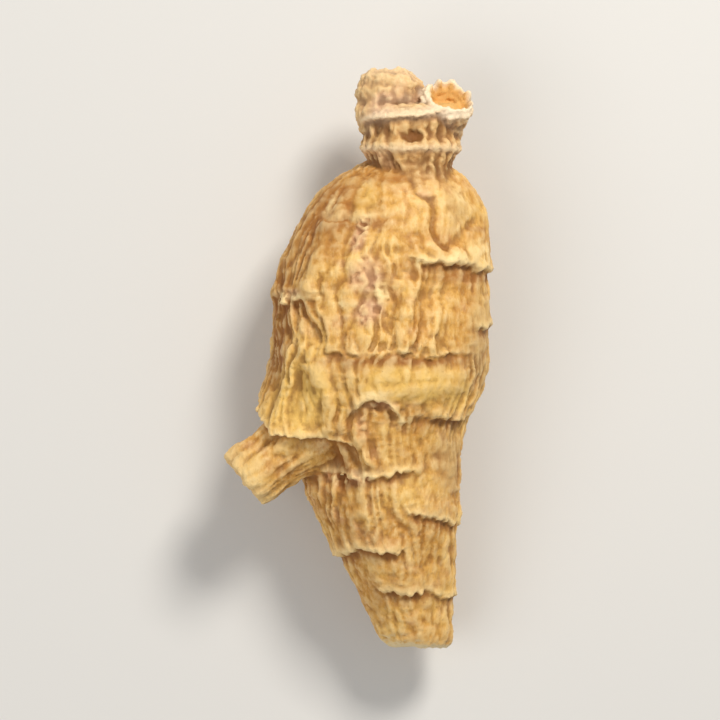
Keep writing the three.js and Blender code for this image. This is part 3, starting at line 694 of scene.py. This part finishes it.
def limbs():
    """The skins of the limbs, in the order of LIMBS."""
    body = skin(BODY_OUTLINE, BODY_AXIS, BODY_OVAL, body_relief, BODY_GRID, CUT_CALM)
    collar = skin(COLLAR_OUTLINE, COLLAR_AXIS, COLLAR_OVAL, collar_relief, COLLAR_GRID)
    dome = skin(DOME_OUTLINE, DOME_AXIS, DOME_OVAL, scar_relief(DOME_EDGE), DOME_GRID, DISH_CALM)
    cup = skin(CUP_OUTLINE, CUP_AXIS, 1, scar_relief(CUP_EDGE), CUP_GRID)
    branch = skin(BRANCH_OUTLINE, BRANCH_AXIS, BRANCH_OVAL, branch_relief, BRANCH_GRID, CUT_CALM)
    cup = (placed(cup[0], CUP_MOUTH, -np.array(CUP_FACES)), *cup[1:])
    branch = (placed(branch[0], BRANCH_FOOT, BRANCH_GROWS), *branch[1:])
    return [body, collar, dome, cup, branch]


def to_frame(points):
    """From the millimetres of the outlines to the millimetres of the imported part."""
    return points + (-ORIGIN_ACROSS, ORIGIN_DEPTH, -REST_LEVEL)


def mesh_of(name, points, faces):
    mesh = bpy.data.meshes.new(name)
    mesh.from_pydata(points, [], faces)
    mesh.update()
    return mesh


def object_of(name, data):
    thing = bpy.data.objects.new(name, data)
    bpy.context.scene.collection.objects.link(thing)
    return thing


def apply_modifier(thing, kind, **settings):
    modifier = thing.modifiers.new("once", kind)
    for name, value in settings.items():
        setattr(modifier, name, value)
    evaluated = thing.evaluated_get(bpy.context.evaluated_depsgraph_get())
    mesh = bpy.data.meshes.new_from_object(evaluated)
    thing.modifiers.clear()
    thing.data = mesh


def one_skin(made):
    """All limbs as one closed skin."""
    points, faces, start = [], [], 0
    for limb_points, limb_faces, _ in made:
        points.append(to_frame(limb_points) * MM)
        faces += [[corner + start for corner in face] for face in limb_faces]
        start += len(limb_points)
    root = object_of("root", mesh_of("limbs", np.concatenate(points).tolist(), faces))
    apply_modifier(root, "REMESH", mode="VOXEL", voxel_size=VOXEL * MM)
    return root


class Surface:
    """A mesh's vertices in millimetres, with their normals and neighbours."""

    def __init__(self, mesh):
        self.mesh = mesh
        self.count = len(mesh.vertices)
        self.points = self.read(mesh.vertices, "co", 3) / MM
        self.normals = self.read(mesh.vertices, "normal", 3)
        edges = np.empty(len(mesh.edges) * 2, np.int32)
        mesh.edges.foreach_get("vertices", edges)
        self.a, self.b = edges.reshape(-1, 2).T
        self.degree = np.bincount(np.concatenate([self.a, self.b]), minlength=self.count)

    @staticmethod
    def read(items, name, width):
        values = np.empty(len(items) * width, np.float32)
        items.foreach_get(name, values)
        return values.reshape(-1, width).astype(float)

    def smoothed(self, values, times):
        """The values averaged with their neighbours', so many times."""
        values = values.reshape(self.count, -1)
        for _ in range(times):
            total = np.empty_like(values)
            for c in range(values.shape[1]):
                column = values[:, c]
                total[:, c] = (np.bincount(self.a, column[self.b], self.count)
                               + np.bincount(self.b, column[self.a], self.count))
            values = (values + total) / (1 + self.degree)[:, None]
        return values

    def heights(self):
        """How far each point stands above the skin close to it, and that skin above the skin further off."""
        near = self.smoothed(self.points, NEAR_BLUR)
        wide = self.smoothed(near, WIDE_BLUR)
        fine = np.einsum("ij,ij->i", self.points - near, self.normals)
        broad = np.einsum("ij,ij->i", near - wide, self.normals)
        return self.smoothed(fine, 1)[:, 0], broad

    def write(self):
        self.mesh.vertices.foreach_set("co", (self.points * MM).astype(np.float32).ravel())
        self.mesh.update()

    def attribute(self, name, values):
        layer = self.mesh.attributes.new(name, "FLOAT", "POINT")
        layer.data.foreach_set("value", np.ascontiguousarray(values, np.float32).ravel())


def nearest_limb(made, points):
    """For each point, the number of the limb it lies on and that limb's lip there."""
    skin_points = np.concatenate([to_frame(limb_points) for limb_points, _, _ in made])
    limb_number = np.concatenate([np.full(len(limb[0]), number) for number, limb in enumerate(made)])
    lips = np.concatenate([np.concatenate([[0], np.ravel(lip), [0]]) for _, _, lip in made])
    tree = KDTree(len(skin_points))
    for number, point in enumerate(skin_points):
        tree.insert(point, number)
    tree.balance()
    found = np.array([tree.find(point)[1] for point in points])
    return limb_number[found], lips[found]


def limb_share(surface, limb, *names):
    """1 on the named limbs and 0 on the others, blurred where they meet."""
    on = np.isin(limb, [LIMBS.index(name) for name in names])
    return surface.smoothed(on.astype(float), LIMB_BLUR)[:, 0]


def around_body(points):
    """Where points lie round the body's axis: angle and depth."""
    x, y, z = (points - to_frame(np.zeros(3))).T
    centre_x, centre_z = centre_at(BODY_AXIS, -y)
    return np.arctan2(x - centre_x, (z - centre_z) / BODY_OVAL), -y


def along_branch(points):
    """The points turned so that the side root runs along y."""
    turn = Vector(BRANCH_GROWS).normalized().rotation_difference(Vector((0, -1, 0))).to_matrix()
    x, depth, z = BRANCH_FOOT
    foot = to_frame(np.array([x, -depth, z]))
    return (points - foot) @ np.array(turn).T


def patch_mask(points, patches):
    """How far each point is inside blotchy ovals on the body, from 0 to 1."""
    angle, depth = around_body(points)
    blotch = sum(share * noise(*(cells * points.T)) for share, cells in BLOTCHES)
    mask = np.zeros(len(points))
    for patch_angle, patch_depth, wide, tall in patches:
        across = turn_from(angle, patch_angle * DEGREE) / (wide * DEGREE)
        away = across**2 + ((depth - patch_depth) / tall) ** 2
        mask = np.maximum(mask, smoothstep(PATCH_REACH - away + PATCH_UNEVEN * blotch, 0, PATCH_REACH))
    return mask


def creased(kind, spot, along=None):
    """Round-topped wrinkles in space that run along y, from about -0.5 to 0.5."""
    x, y, z = spot.T
    across, seed = kind["across"], kind["seed"]
    along = kind["along"] if along is None else along
    return folded(noise(across * x + seed, along * y + SEED_STEP * seed, across * z))


def wrinkles(spot, run, busy):
    """The small wrinkles of a limb that runs along y."""
    sway = run["swing"] * noise(*(SWAY["cells"] * spot.T))
    bent = spot + sway[:, None] * SWAY["share"]
    worn = smoothstep(noise(*(WORN["cells"] * spot.T + WORN["seed"])), *WORN["range"])
    long, short, cross = (
        mix(*kind["heights"], worn) * creased(kind, bent)
        for kind in (LONG_WRINKLES, SHORT_WRINKLES, CROSS_WRINKLES)
    )
    crumples = CRUMPLED["height"] * creased(CRUMPLED, spot, run["crumpled"])
    crumpled = crumples * mix(*CRUMPLED["shares"], worn) * busy
    grain = GRAIN["height"] * noise(*(GRAIN["cells"] * spot.T)) + crumpled
    return mix(WRINKLES_LEAST, 1, busy) * (long + short) + cross + grain


def fine_relief(surface, branch_share):
    """The relief that is too fine for the limbs' own, in millimetres along each normal."""
    points = surface.points
    angle, depth = around_body(points)
    busy = mix(BUSY_LEAST, 1, np.clip(pleat_share(angle, depth), 0, 1))
    lift = (1 - branch_share) * wrinkles(points, BODY_RUN, busy)
    lift += branch_share * wrinkles(along_branch(points), BRANCH_RUN, busy)
    crust = CRUST["height"] * creased(CRUST, points)
    scars = SCARRING["height"] * creased(SCARRING, points) * patch_mask(points, TINTS["rosy"])
    return lift + (1 - smoothstep(depth, *CRUST["ends"])) * crust + (1 - branch_share) * scars


def build_root():
    made = limbs()
    root = one_skin(made)
    surface = Surface(root.data)
    limb, _ = nearest_limb(made, surface.points)
    lift = fine_relief(surface, limb_share(surface, limb, "branch"))
    surface.points += lift[:, None] * surface.normals
    blurred = surface.smoothed(surface.points, SHARPEN["blur"])
    surface.points += SHARPEN["share"] * (surface.points - blurred)
    surface.points[:, 2] = np.maximum(surface.points[:, 2], 0)
    surface.write()
    root.data.calc_loop_triangles()
    apply_modifier(root, "DECIMATE", ratio=min(MOST_TRIANGLES / len(root.data.loop_triangles), 1))
    root.data.name = "root"
    root.data.polygons.foreach_set("use_smooth", np.ones(len(root.data.polygons), bool))
    add_masks(Surface(root.data), made)
    return root


def bud_mask(points):
    x, y, z = points.T
    away = np.hypot((x - BUD["x"]) / BUD["wide"], (y - BUD["y"]) / BUD["tall"])
    away = away + BUD["uneven"] * noise(*(BUD["cells"] * points.T))
    return (1 - smoothstep(away, *BUD["edge"])) * (z > BUD["above"])


def pit_shade_mask(surface, fine, broad, on_crown):
    """Painted shade in the crust's narrow and broad hollows on the crown, in scattered patches."""
    narrow = surface.smoothed(np.clip(-fine / PITS["fine"], 0, 1), PITS["blur"])[:, 0]
    pitted = np.clip(PITS["share"] * narrow - broad / PITS["broad"], 0, 1)
    scattered = smoothstep(noise(*(PITS["cells"] * surface.points.T + PITS["seed"])), *PITS["range"])
    return pitted * on_crown * scattered


def cup_mask(points):
    """The inside of the cup."""
    faces = np.array(Vector(CUP_FACES).normalized())
    x, depth, z = CUP_MOUTH
    from_mouth = points - to_frame(np.array([x, -depth, z]))
    out = from_mouth @ faces
    from_axis = np.linalg.norm(from_mouth - out[:, None] * faces, axis=1)
    inside = smoothstep(CUP_INSIDE["radius"] - from_axis, 0, CUP_INSIDE["edge"])
    return inside * smoothstep(out, *CUP_INSIDE["depths"])


def flesh_mask(surface):
    """The tail's cut end."""
    _, depth = around_body(surface.points)
    return smoothstep(-surface.normals[:, 1], *FLESH["faces"]) * smoothstep(depth, *FLESH["depths"])


def add_masks(surface, made):
    """Where the skin is creased, ridged, crusted, cut or tinted, and where shade and light are painted on it,
    as numbers from 0 to 1 at each vertex.
    """
    limb, lip = nearest_limb(made, surface.points)
    on_crown = limb_share(surface, limb, "collar", "dome", "cup")
    on_body = limb_share(surface, limb, "body")
    fine, broad = surface.heights()
    edge = surface.smoothed(lip, LIP_BLUR)[:, 0]
    masks = {
        # painted shade in the fine creases
        "painted_crease_shade": -fine / FINE_FULL,
        # ridges paler: partly wear, partly painted highlight
        "ridge": fine / FINE_FULL,
        # painted shade in broad hollows
        "painted_hollow_shade": -broad / mix(BROAD_FULL, CROWN_FULL, on_crown),
        # painted light on broad bulges
        "painted_bulge_light": broad / BROAD_FULL,
        "lip": LIP_BRIGHT * edge,
        # painted shade under each ledge, where the lip is below 0
        "painted_ledge_shade": -UNDER_LEDGE_SHADE * edge,
        "bud": bud_mask(surface.points),
        # painted shade in the crust's hollows on the crown
        "painted_pit_shade": pit_shade_mask(surface, fine, broad, on_crown),
        "crown": on_crown,
        "cup": cup_mask(surface.points),
        "flesh": flesh_mask(surface),
    }
    for name, patches in TINTS.items():
        masks[name] = patch_mask(surface.points, patches) * on_body
    masks["cream"] *= np.clip(CREAM_RAISED[0] + fine / CREAM_RAISED[1], 0, 1)
    for name, mask in masks.items():
        surface.attribute(name, np.clip(mask, 0, 1))


class Nodes:
    """A material's nodes, made and joined in one call each."""

    def __init__(self, name):
        self.material = bpy.data.materials.new(name)
        self.material.use_nodes = True
        self.tree = self.material.node_tree
        self.shader = self.tree.nodes["Principled BSDF"]

    def join(self, value, socket):
        if isinstance(value, bpy.types.NodeSocket):
            self.tree.links.new(value, socket)
        else:
            socket.default_value = value

    def node(self, kind, **settings):
        made = self.tree.nodes.new(kind)
        for name, value in settings.items():
            setattr(made, name, value)
        return made

    def mask(self, name):
        return self.node("ShaderNodeAttribute", attribute_name=name).outputs["Fac"]

    def times(self, a, b):
        made = self.node("ShaderNodeMath", operation="MULTIPLY")
        self.join(a, made.inputs[0])
        self.join(b, made.inputs[1])
        return made.outputs[0]

    def mix(self, share, a, b):
        made = self.node("ShaderNodeMix", data_type="RGBA")
        self.join(share, made.inputs["Factor"])
        self.join(a, made.inputs["A"])
        self.join(b, made.inputs["B"])
        return made.outputs["Result"]

    def layered(self, colour, layers):
        """The colour with others over it, each shown by its mask times its share."""
        for name, shade, most in layers:
            colour = self.mix(self.times(self.mask(name), most), colour, shade)
        return colour

    def spread(self, value, low, high, to_low=0.0, to_high=1.0):
        """The value carried from the range of low to high to another range."""
        made = self.node("ShaderNodeMapRange")
        for socket, number in zip(made.inputs, (value, low, high, to_low, to_high)):
            self.join(number, socket)
        return made.outputs[0]

    def noise(self, place, cells, detail=3.0, rough=0.6, stretch=None):
        if stretch:
            stretched = self.node("ShaderNodeMapping")
            self.join(place, stretched.inputs["Vector"])
            stretched.inputs["Scale"].default_value = stretch
            place = stretched.outputs[0]
        made = self.node("ShaderNodeTexNoise")
        self.join(place, made.inputs["Vector"])
        made.inputs["Scale"].default_value = cells
        made.inputs["Detail"].default_value = detail
        made.inputs["Roughness"].default_value = rough
        return made.outputs["Fac"]


def skin_colour(n, place):
    """Tan to pale skin, dusty and flecked, with its tints, painted shade in creases and hollows, painted
    light on bulges, ridges paler from wear and painted highlight, and specks.
    """
    mottle = n.noise(place, MOTTLE["cells"])
    dust = n.noise(place, DUST["cells"], DUST["detail"])
    flecks = n.noise(place, FLECKS["cells"], FLECKS["detail"], FLECKS["rough"], FLECKS["stretch"])
    streaks = n.noise(place, STREAKS["cells"], stretch=STREAKS["stretch"])
    specks = n.noise(place, SPECKS["cells"], SPECKS["detail"])
    colour = n.mix(n.spread(mottle, *MOTTLE["range"]), TAN, PALE)
    colour = n.mix(n.spread(dust, *DUST["range"]), colour, ROSY)
    colour = n.mix(n.spread(flecks, *LIGHT_FLECKS), colour, CREAM)
    colour = n.mix(n.spread(flecks, *DARK_FLECKS), colour, BROWN)
    # the tints, with the painted shade patches among them
    colour = n.layered(colour, TINT_LAYERS)
    colour = n.mix(n.spread(streaks, *STREAKS["range"]), colour, BROWN)
    # painted light on bulges, painted shade in hollows, painted shadow, painted shade under the ledges, and
    # the orange tint
    colour = n.layered(colour, RELIEF_LAYERS)
    blushed = n.times(n.mask("crown"), n.spread(mottle, *BLUSH))
    colour = n.mix(blushed, colour, PINK)
    # painted shade in pits and creases, ridges paler from wear and painted highlight, and cream nubs
    colour = n.layered(colour, SHADE_HIGHLIGHT_AND_WEAR_LAYERS)
    lip_colour = n.mix(n.mask("crown"), CREAM, CHALK)
    colour = n.mix(n.times(n.mask("lip"), LIP_SHOWS), colour, lip_colour)
    colour = n.mix(n.mask("bud"), colour, DARK)
    colour = n.mix(n.mask("cup"), colour, PEACH)
    colour = n.mix(n.mask("flesh"), colour, CUT_FLESH)
    return n.mix(n.spread(specks, *SPECKS["range"]), colour, DARK)


def root_skin():
    n = Nodes("root_skin")
    place = n.node("ShaderNodeTexCoord").outputs["Object"]
    n.join(skin_colour(n, place), n.shader.inputs["Base Color"])
    n.join(n.spread(n.mask("ridge"), 0, 1, *WAXY), n.shader.inputs["Roughness"])
    bump = n.node("ShaderNodeBump")
    bump.inputs["Distance"].default_value = BUMP["distance"]
    bump.inputs["Strength"].default_value = BUMP["strength"]
    grain = n.noise(place, BUMP["cells"], BUMP["detail"], BUMP["rough"], BUMP["stretch"])
    n.join(grain, bump.inputs["Height"])
    n.join(bump.outputs[0], n.shader.inputs["Normal"])
    return n.material


def build_floor():
    size = FLOOR_REACH
    corners = [(-size, -size, 0), (size, -size, 0), (size, size, 0), (-size, size, 0)]
    floor = object_of("floor", mesh_of("floor", corners, [(0, 1, 2, 3)]))
    n = Nodes("floor_paint")
    n.shader.inputs["Base Color"].default_value = FLOOR_COLOUR
    n.shader.inputs["Roughness"].default_value = FLOOR_ROUGHNESS
    floor.data.materials.append(n.material)


def area_light(name, place, size, power, colour, target):
    light = bpy.data.lights.new(name, "AREA")
    light.size = size
    light.energy = power
    light.color = colour
    lamp = object_of(name, light)
    lamp.location = place
    lamp.rotation_euler = (target - Vector(place)).to_track_quat("-Z", "Y").to_euler()


def build_studio():
    middle = (CAD_BOX[0] + CAD_BOX[1]) / 2
    camera = object_of("camera", bpy.data.cameras.new("camera"))
    camera.data.lens = CAMERA_LENS
    camera.location = (middle.x, middle.y, CAMERA_HEIGHT)
    bpy.context.scene.camera = camera
    for light in LIGHTS:
        area_light(**light, target=middle)
    world = bpy.data.worlds.new("studio")
    world.use_nodes = True
    world.node_tree.nodes["Background"].inputs["Color"].default_value = (1, 1, 1, 1)
    world.node_tree.nodes["Background"].inputs["Strength"].default_value = WORLD_STRENGTH
    bpy.context.scene.world = world
    bpy.context.scene.view_settings.view_transform = "Standard"


def main():
    root = build_root()
    root.data.materials.append(root_skin())
    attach(root, "root")
    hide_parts("ginseng_root")
    build_floor()
    build_studio()


main()
